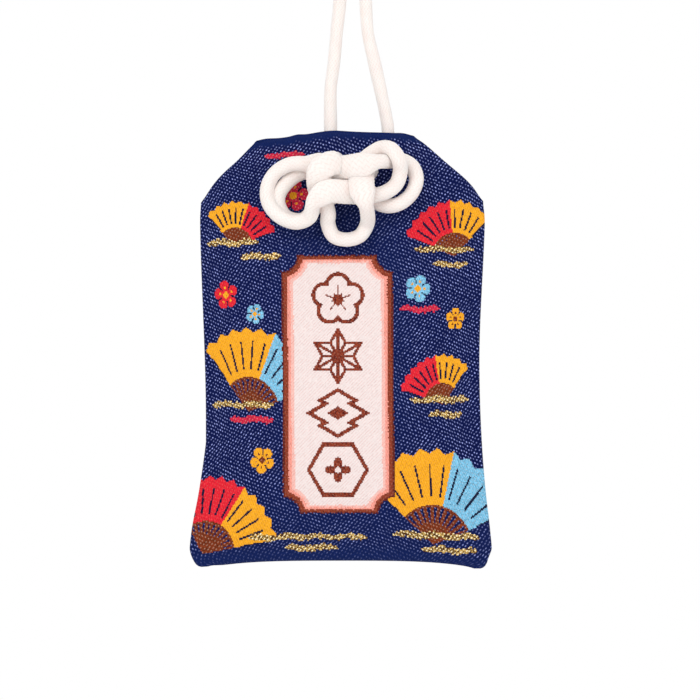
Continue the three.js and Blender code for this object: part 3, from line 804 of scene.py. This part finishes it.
def settle_cloth(name, facing, shape):
    """Lets the cloth settle over its stuffing with its seams held. Returns its moves on a coarse grid."""
    x, drop, rows, columns = flat_grid(SETTLE_STEP, 0)
    start = place_cloth(x, drop, facing, shape)
    faces = grid_faces(rows, columns)
    piece = new_piece(name, start.reshape(-1, 3) / SETTLE_UNIT, faces if facing < 0 else faces[:, ::-1])
    held = piece.vertex_groups.new(name="held")
    seams = (seam_distance(x, drop) < SEAM_HELD) | (drop < SEAM_HELD)
    held.add([int(i) for i in np.flatnonzero(seams)], 1.0, "REPLACE")
    cloth = piece.modifiers.new("cloth", "CLOTH")
    settings = cloth.settings
    for key, value in CLOTH_SETTINGS.items():
        setattr(settings, key, value)
    settings.bending_stiffness = shape["stiffness"]
    settings.shrink_min = -shape["slack"]
    settings.uniform_pressure_force = shape["pressure"]
    settings.effector_weights.gravity = 0
    cloth.collision_settings.use_collision = False
    scene = bpy.context.scene
    for step in range(1, SETTLE_FRAMES + 1):
        scene.frame_set(step)
    settled = piece.evaluated_get(bpy.context.evaluated_depsgraph_get())
    points = np.zeros(start.size)
    settled.data.vertices.foreach_get("co", points)
    bpy.data.objects.remove(piece)
    scene.frame_set(1)
    moves = points.reshape(start.shape) * SETTLE_UNIT - start
    length = np.linalg.norm(moves, axis=2, keepdims=True)
    return moves * np.minimum(1, SETTLE_LIMIT / np.maximum(length, 1e-6))


def smooth_lookup(moves, x, drop):
    """Moves between the coarse grid's points, by cubic curves in both directions."""
    rows, columns = moves.shape[0] - 1, moves.shape[1] - 1
    across = np.clip((x + FLAT_HALF) / (2 * FLAT_HALF), 0, 1) * columns
    down = np.clip(drop / POUCH_HEIGHT, 0, 1) * rows

    def weights(place, last):
        cell = np.minimum(place.astype(int), last - 1)
        t = place - cell
        return cell, [
            -0.5 * t + t ** 2 - 0.5 * t ** 3, 1 - 2.5 * t ** 2 + 1.5 * t ** 3,
            0.5 * t + 2 * t ** 2 - 1.5 * t ** 3, -0.5 * t ** 2 + 0.5 * t ** 3,
        ]

    column, across_weights = weights(across, columns)
    row, down_weights = weights(down, rows)
    total = np.zeros((len(x), 3))
    for i, down_weight in enumerate(down_weights):
        for k, across_weight in enumerate(across_weights):
            found = moves[np.clip(row + i - 1, 0, rows), np.clip(column + k - 1, 0, columns)]
            total += (down_weight * across_weight)[:, None] * found
    return total


def flat_cloth(name):
    """The flat-cut cloth as a grid of weave cells, with its shoulders cut off."""
    x, drop, rows, columns = flat_grid(CELL, -HEM_DEPTH)
    vertices = np.stack([x.ravel(), -drop.ravel(), np.zeros(x.size)], axis=1)
    piece = new_piece(name, vertices, grid_faces(rows, columns))
    sheet = bmesh.new()
    sheet.from_mesh(piece.data)
    for side, top_flat in ((-1, LEFT_TOP_FLAT), (1, RIGHT_TOP_FLAT)):
        bmesh.ops.bisect_plane(
            sheet, geom=sheet.verts[:] + sheet.edges[:] + sheet.faces[:], dist=1e-4,
            plane_co=(side * FLAT_HALF, -SHOULDER_DROP, 0),
            plane_no=(side * SHOULDER_DROP, FLAT_HALF - top_flat, 0), clear_outer=True,
        )
    sheet.to_mesh(piece.data)
    sheet.free()
    return piece


# Gathers along the seams, in millimetres, and the seeds of both cloths
PUCKER_PITCH = 3.9
PUCKER_STRAY = 1.7
PUCKER_STRAY_RATE = 0.61
PUCKER_DEPTH = 0.11
PUCKER_INSET = 1.9
PUCKER_WIDTH = 1.6
FRONT_SEED = 3
BACK_SEED = 4


def seam_puckers(x, drop):
    """Small gathers along the sewn edges."""
    edge = seam_distance(x, np.maximum(drop, 0))
    run = np.where(POUCH_HEIGHT - drop < FLAT_HALF - np.abs(x), x, drop)
    gathers = np.sin(run * math.tau / PUCKER_PITCH + PUCKER_STRAY * np.sin(run * PUCKER_STRAY_RATE))
    return PUCKER_DEPTH * gathers * np.exp(-((edge - PUCKER_INSET) / PUCKER_WIDTH) ** 2)


def paint_weave(mesh, front):
    """Gives each cell of the flat cloth the colour and the masks of its thread."""
    centres = np.zeros(len(mesh.polygons) * 3)
    mesh.polygons.foreach_get("center", centres)
    kinds = weave_kinds(centres[0::3], -centres[1::3], front)
    colours = THREAD_COLOURS[kinds]
    # Painted shade along the foot: the dots are taken away there and the ground is blended to the plain
    # thread's colour
    plain = plain_and_shade_share(centres[0::3], -centres[1::3]) * (kinds == GROUND)
    colours += plain[:, None] * (THREAD_COLOURS[HEM] - THREAD_COLOURS[GROUND])
    rng = np.random.default_rng(FRONT_SEED if front else BACK_SEED)
    colours[:, :3] *= (1 + THREAD_MOTTLE[kinds] * rng.normal(0, 1, len(kinds)))[:, None]
    masks = np.stack([
        (kinds == GROUND) - plain, kinds == GOLD, np.isin(kinds, (FIELD, PINK)),
        rng.uniform(0, 1, len(kinds)),
    ], axis=1).astype(float)
    write_values(mesh, "weave_colour", "FLOAT_COLOR", "FACE", colours)
    write_values(mesh, "weave_mask", "FLOAT_COLOR", "FACE", masks)
    write_values(mesh, "weave_points", "FLOAT", "FACE", THREAD_POINTS[kinds])


def unfold(mesh, x, drop):
    """Adds the flat cut as texture places: in millimetres for the weave, and as shares of the sheet."""
    corners = corner_points(mesh)
    x, drop = x[corners], drop[corners]
    write_uv(mesh, "Weave", x, -drop)
    down = (drop + HEM_DEPTH) / (POUCH_HEIGHT + HEM_DEPTH)
    write_uv(mesh, "OFBake", (x + FLAT_HALF) / (2 * FLAT_HALF), 1 - down)


def make_cloth(name, facing, shape, node, material):
    """One sewn and stuffed side of the pouch. Returns how its cloth has settled."""
    front = facing < 0
    piece = flat_cloth(name)
    mesh = piece.data
    points = np.zeros(len(mesh.vertices) * 3)
    mesh.vertices.foreach_get("co", points)
    x, drop = points[0::3], -points[1::3]
    paint_weave(mesh, front)
    unfold(mesh, x, drop)
    placed = place_cloth(x, drop, facing, shape)
    moves = settle_cloth(name + "_settling", facing, shape)
    placed += smooth_lookup(moves, x, drop)
    relief = THREAD_RELIEF[weave_kinds(x, drop, front)] * np.clip(drop, 0, 1)
    placed[:, 1] += facing * (relief + seam_puckers(x, drop))
    mesh.vertices.foreach_set("co", (placed * MM).ravel())
    if not front:
        mesh.flip_normals()
    mesh.polygons.foreach_set("use_smooth", [True] * len(mesh.polygons))
    mesh.update()
    mesh.materials.append(material)
    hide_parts(node)
    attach(piece, "pouch")
    return moves


# Wadding, in millimetres: half sizes of the pad, its middle, its flat back and the room under the cloth
PAD_HALF_WIDTH = 19.5
PAD_HALF_HEIGHT = 29.0
PAD_MIDDLE_DROP = 37.0
PAD_BACK_Y = -1.55
PAD_ROOM = 0.6
PAD_LEAST = 0.1
PAD_FLUFF = 0.08
PAD_RINGS = 14
PAD_SIDES = 64

# Powers that make the pad's outline square and its rim round
PAD_SQUARE = 0.45
PAD_ROUND = 6


def squared(wave):
    return np.sign(wave) * np.abs(wave) ** PAD_SQUARE


def make_wadding(material, moves):
    """A soft pad with a flat back and a crowned front that follows the settled cloth."""
    angles = np.arange(PAD_SIDES) * (math.tau / PAD_SIDES)
    share = np.linspace(0, 1, PAD_RINGS + 1)[1:, None]
    x = np.append(PAD_HALF_WIDTH * share * squared(np.cos(angles))[None, :], 0.0)
    down = PAD_MIDDLE_DROP + PAD_HALF_HEIGHT * share * squared(np.sin(angles))[None, :]
    drop = np.append(down, PAD_MIDDLE_DROP)
    rounding = np.append(np.sqrt(1 - np.repeat(share.ravel(), PAD_SIDES) ** PAD_ROUND), 1.0)
    front = place_cloth(x, drop, -1, FRONT_SHAPE) + smooth_lookup(moves, x, drop)
    room = np.maximum(PAD_BACK_Y - front[:, 1] - PAD_ROOM, PAD_LEAST)
    fluff = PAD_FLUFF * np.sin(x * 1.3 + 2.1 * np.sin(drop * 0.7)) * np.sin(drop * 1.1)
    front[:, 1] = PAD_BACK_Y - room * rounding * (1 + fluff)
    back = front.copy()
    back[:, 1] = PAD_BACK_Y
    inwards = back[:-1].reshape(PAD_RINGS, PAD_SIDES, 3)[::-1].reshape(-1, 3)
    vertices = np.vstack([front[:-1], inwards, front[-1:], back[-1:]])
    piece = new_piece("wadding_pad", vertices * MM, tube_faces(2 * PAD_RINGS, PAD_SIDES))
    piece.data.materials.append(material)
    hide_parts("wadding")
    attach(piece, "pouch")


# Materials

class Graph:
    """A small helper to write shader nodes as expressions."""

    def __init__(self, owner):
        owner.use_nodes = True
        self.owner = owner
        self.nodes = owner.node_tree.nodes
        self.links = owner.node_tree.links
        self.shader = self.nodes.get("Principled BSDF")

    def put(self, socket, value):
        if isinstance(value, bpy.types.NodeSocket):
            self.links.new(value, socket)
        else:
            socket.default_value = value

    def node(self, kind, inputs=(), **settings):
        """A new node with its inputs and settings. Returns its outputs."""
        made = self.nodes.new("ShaderNode" + kind)
        for key, value in settings.items():
            setattr(made, key, value)
        for place, value in dict(inputs).items():
            self.put(made.inputs[place], value)
        return made.outputs

    def math(self, operation, a, b=0.0, c=0.0):
        return self.node("Math", {0: a, 1: b, 2: c}, operation=operation)[0]

    def times(self, a, b, plus=None):
        if plus is None:
            return self.math("MULTIPLY", a, b)
        return self.math("MULTIPLY_ADD", a, b, plus)

    def less(self, a, b):
        return self.math("SUBTRACT", a, b)

    def weighted(self, a, share_a, b, share_b):
        return self.math("ADD", self.times(a, share_a), self.times(b, share_b))

    def vector(self, operation, a, b):
        place = "Scale" if operation == "SCALE" else 1
        return self.node("VectorMath", {0: a, place: b}, operation=operation)[0]

    def attribute(self, name):
        return self.node("Attribute", attribute_name=name)

    def mix(self, factor, a, b):
        inputs = {"Factor": factor, 6: a, 7: b}
        return self.node("Mix", inputs, data_type="RGBA", clamp_factor=True)[2]

    def ramp(self, value, low, high):
        inputs = {0: value, 1: low, 2: high, 3: 0.0, 4: 1.0}
        return self.node("MapRange", inputs, interpolation_type="SMOOTHSTEP")[0]

    def uv(self, name):
        return self.node("SeparateXYZ", {0: self.node("UVMap", uv_map=name)[0]})[:2]

    def noise(self, vector, scale, detail=2.0):
        inputs = {"Vector": vector, "Scale": scale, "Detail": detail}
        return self.node("TexNoise", inputs)[0]

    def finish(self, roughness, bump=None, **sockets):
        self.put(self.shader.inputs["Roughness"], roughness)
        for name, value in sockets.items():
            self.put(self.shader.inputs[name.replace("_", " ")], value)
        if bump is not None:
            bumped = self.node("Bump", dict(zip(("Height", "Distance", "Strength"), bump)))
            self.put(self.shader.inputs["Normal"], bumped[0])
        return self.owner


def new_graph(name):
    return Graph(bpy.data.materials.new(name))


# Pitch of the slanting lines in the label and in the coloured fills, in millimetres
LABEL_TWILL = 0.58
FILL_TWILL = 0.4
FURROW_TINT = (0.93, 0.8, 0.79)

# Lattice of the pale weave points, in millimetres: two steps that repeat, their size and how far they stray
DOT_STEP_A = (0.37, 0.47)
DOT_STEP_B = (0.17, -0.67)
DOT_SIZE = 0.17
DOT_CORE = 0.03
DOT_SHIFT = 0.16

# Gold thread, where it is worn and where it glints
GOLD_WORN = srgb(74, 44, 26)
GOLD_GLINT = srgb(255, 244, 208)


def weave_dots(graph, x, y, place):
    """Oval weave points on a slanting lattice: 1 in their middles, and how strong each of them is."""
    det = DOT_STEP_A[0] * DOT_STEP_B[1] - DOT_STEP_A[1] * DOT_STEP_B[0]
    count_a = graph.weighted(x, DOT_STEP_B[1] / det, y, -DOT_STEP_B[0] / det)
    count_b = graph.weighted(x, -DOT_STEP_A[1] / det, y, DOT_STEP_A[0] / det)
    cell_a, cell_b = graph.math("ROUND", count_a), graph.math("ROUND", count_b)
    from_a, from_b = graph.less(count_a, cell_a), graph.less(count_b, cell_b)
    cell = graph.node("CombineXYZ", {0: cell_a, 1: cell_b})[0]
    chances = graph.node("TexWhiteNoise", {"Vector": cell})
    shift = graph.node("SeparateColor", {0: chances["Color"]})
    off = []
    for axis in range(2):
        straight = graph.weighted(from_a, DOT_STEP_A[axis], from_b, DOT_STEP_B[axis])
        off.append(graph.times(graph.less(shift[axis], 0.5), DOT_SHIFT, straight))
    lean = graph.ramp(graph.noise(place, 0.11, 1.0), 0.38, 0.62)
    rising, falling = graph.math("ADD", *off), graph.less(*off)
    rising_share = graph.times(lean, 0.5, 0.2)
    falling_share = graph.less(0.9, rising_share)
    reach = graph.math("SQRT", graph.weighted(
        graph.times(rising, rising), rising_share,
        graph.times(falling, falling), falling_share,
    ))
    drift = graph.noise(place, 0.16, 3.0)
    chance = graph.times(shift[2], shift[2])
    strength = graph.times(chance, 0.75, graph.times(drift, 0.5, 0.14))
    return graph.ramp(reach, DOT_SIZE, DOT_CORE), strength


def brocade_material():
    """Dotted ground, twilled fills, a furrowed label and gold thread, told apart by the cells' masks."""
    graph = new_graph("brocade")
    x, y = graph.uv("Weave")
    place = graph.node("CombineXYZ", {0: x, 1: y})[0]
    colour = graph.attribute("weave_colour")[0]
    mask = graph.attribute("weave_mask")
    ground, gold, label = graph.node("SeparateColor", {0: mask[0]})[:3]
    sparkle = mask["Alpha"]
    points = graph.attribute("weave_points")["Fac"]
    dot, strength = weave_dots(graph, x, y, place)
    pale = graph.times(graph.times(dot, strength), ground)
    dotted = graph.mix(pale, colour, PALE_DOT)
    woven = graph.mix(graph.times(dot, points), dotted, FILL_POINT)
    thread = graph.math("SINE", graph.times(y, math.tau / CELL))
    level = graph.less(x, y)
    slant = graph.math("SINE", graph.times(level, math.tau / LABEL_TWILL))
    steep = graph.times(y, 0.45, x)
    twill = graph.math("SINE", graph.times(steep, math.tau / FILL_TWILL))
    mottle = graph.less(graph.noise(place, 2.6, 2.0), 0.5)
    fill = graph.less(graph.less(1.0, ground), label)
    fill_line = graph.times(twill, 0.1, graph.times(mottle, 0.4))
    bright = graph.times(fill_line, fill, 1.0)
    shaded = graph.vector("SCALE", woven, bright)
    patchy = graph.ramp(graph.noise(place, 1.3, 2.0), 0.3, 0.6)
    furrow = graph.times(graph.times(graph.ramp(slant, 0.1, 1.0), label), patchy)
    lined = graph.mix(furrow, shaded, graph.vector("MULTIPLY", shaded, FURROW_TINT))
    grain = graph.times(dot, 0.8, graph.times(sparkle, 0.45))
    worn = graph.mix(graph.times(gold, graph.ramp(grain, 0.42, 0.12)), lined, GOLD_WORN)
    shown = graph.mix(graph.times(gold, graph.ramp(grain, 0.42, 0.78)), worn, GOLD_GLINT)
    rough = graph.less(0.78, graph.times(gold, 0.4))
    height = graph.math("ADD", dot, graph.times(graph.math("ADD", thread, slant), 0.25))
    return graph.finish(
        rough, bump=(height, 0.05 * MM, 0.6), Base_Color=shown, Metallic=graph.times(gold, 0.3),
        Sheen_Weight=0.02, Sheen_Roughness=0.5, Specular_IOR_Level=0.07,
    )


def cord_material():
    """Cream cord with fine fibres, and painted shade that darkens the grooves between its strands."""
    graph = new_graph("cord")
    around, along = graph.uv("Lay")
    girth = graph.times(around, CORD_GIRTH)
    place = graph.node("CombineXYZ", {0: girth, 1: along})[0]
    fibre = graph.noise(place, 6.0, 3.0)
    tint = graph.noise(place, 0.35, 2.0)
    warm = graph.mix(graph.ramp(tint, 0.35, 0.7), CORD_CREAM, CORD_WARM)
    colour = graph.mix(graph.times(graph.ramp(fibre, 0.62, 0.3), 0.14), warm, CORD_FIBRE)
    # Painted shade: the cord's colour is darkened in the grooves between its strands
    shade_share = graph.ramp(graph.attribute("groove_shade")["Fac"], 0.1, 0.9)
    lined = graph.mix(graph.times(shade_share, 0.45), colour, CORD_GROOVE_SHADE)
    return graph.finish(
        0.62, bump=(fibre, 0.03 * MM, 0.5), Base_Color=lined,
        Sheen_Weight=0.7, Sheen_Roughness=0.5, Subsurface_Weight=0.4, Subsurface_Scale=0.6 * MM,
        Subsurface_Radius=(1.0, 0.9, 0.85),
    )


def plain_fibre_material(name, light, dark, scale, roughness):
    """Paper, card, wood or wadding: two tones mixed by stretched fibres."""
    graph = new_graph(name)
    spot = graph.node("TexCoord")["Object"]
    fibre = graph.noise(graph.vector("MULTIPLY", spot, scale), 1.0, 5.0)
    tone = graph.mix(graph.ramp(fibre, 0.3, 0.7), light, dark)
    return graph.finish(roughness, bump=(fibre, 0.05 * MM, 0.4), Base_Color=tone)


# Inner pieces: node, material, light and dark tone, fibres to the metre along each axis, roughness
INNER_LOOKS = [
    ("stiffener_card", "card", srgb(206, 186, 156), srgb(176, 152, 120), (500, 500, 500), 0.9),
    ("talisman_wrapper", "paper", srgb(248, 244, 234), srgb(232, 225, 210), (700, 700, 300), 0.9),
    ("talisman_slip", "wood", srgb(222, 190, 142), srgb(190, 150, 100), (1400, 1400, 60), 0.6),
    ("seam_thread", "thread", srgb(30, 37, 84), srgb(22, 27, 62), (4000, 4000, 4000), 0.8),
]


def dress_inner_pieces():
    """The filling keeps its CAD solids and gets its real materials."""
    for node, *look in INNER_LOOKS:
        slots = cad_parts[node].data.materials
        slots.clear()
        slots.append(plain_fibre_material(*look))


# Studio

def white_to_the_eye(graph):
    """1 where the camera, a mirror or glass looks straight at the material, otherwise 0."""
    path = graph.node("LightPath")
    seen = graph.math("MAXIMUM", path["Is Camera Ray"], path["Is Glossy Ray"])
    return graph.math("MAXIMUM", seen, path["Is Transmission Ray"])


FLOOR_Z = -0.2
FLOOR_RADIUS = 0.45
FLOOR_SIDES = 64
FLOOR_WHITE = 0.985


def make_floor():
    angles = [math.tau * i / FLOOR_SIDES for i in range(FLOOR_SIDES)]
    rim = [(FLOOR_RADIUS * math.cos(a), FLOOR_RADIUS * math.sin(a), FLOOR_Z) for a in angles]
    floor = new_piece("floor", rim, [range(FLOOR_SIDES)])
    graph = new_graph("studio_floor")
    spot = graph.node("TexCoord")["Object"]
    paper = graph.mix(graph.noise(spot, 400.0), srgb(250, 250, 250), srgb(247, 247, 247))
    graph.finish(0.9, Base_Color=paper)
    white = graph.node("Emission", {"Color": (1, 1, 1, 1), "Strength": 1.0})[0]
    share = graph.times(white_to_the_eye(graph), FLOOR_WHITE)
    shown = graph.node("MixShader", {0: share, 1: graph.shader.outputs[0], 2: white})
    graph.links.new(shown[0], graph.nodes["Material Output"].inputs["Surface"])
    floor.data.materials.append(graph.owner)


def add_area_light(name, place, target, size, power):
    data = bpy.data.lights.new(name, "AREA")
    data.shape = "DISK"
    data.size = size
    data.energy = power
    light = bpy.data.objects.new(name, data)
    bpy.context.scene.collection.objects.link(light)
    light.location = place
    light.rotation_euler = (Vector(target) - Vector(place)).to_track_quat("-Z", "Y").to_euler()


# Lights: name, place, size and power; all of them look at the middle of the pouch
LIGHTS = [("key", (-0.18, -0.6, 0.24), 0.45, 1.25), ("fill", (0.4, -0.55, 0.0), 0.6, 0.45)]
LIT_PLACE = (0, 0, -0.088)
FILL_LEVEL = 0.8


def light_scene():
    for name, place, size, power in LIGHTS:
        add_area_light(name, place, LIT_PLACE, size, power)
    world = bpy.data.worlds.new("studio")
    graph = Graph(world)
    level = graph.times(white_to_the_eye(graph), 1 - FILL_LEVEL, FILL_LEVEL)
    background = graph.nodes["Background"]
    background.inputs["Color"].default_value = (1, 1, 1, 1)
    graph.links.new(level, background.inputs["Strength"])
    bpy.context.scene.world = world
    bpy.context.scene.view_settings.view_transform = "Standard"


def main():
    make_camera()
    cord = cord_material()
    make_hanging_loop(cord)
    make_knot(cord)
    brocade = brocade_material()
    front_moves = make_cloth("front_cloth", -1, FRONT_SHAPE, "front_panel", brocade)
    make_cloth("back_cloth", 1, BACK_SHAPE, "back_panel", brocade)
    fluff = plain_fibre_material("wadding", srgb(244, 240, 230), srgb(222, 216, 204), (900, 900, 900), 0.95)
    make_wadding(fluff, front_moves)
    dress_inner_pieces()
    make_floor()
    light_scene()


main()
bpy.context.view_layer.update()
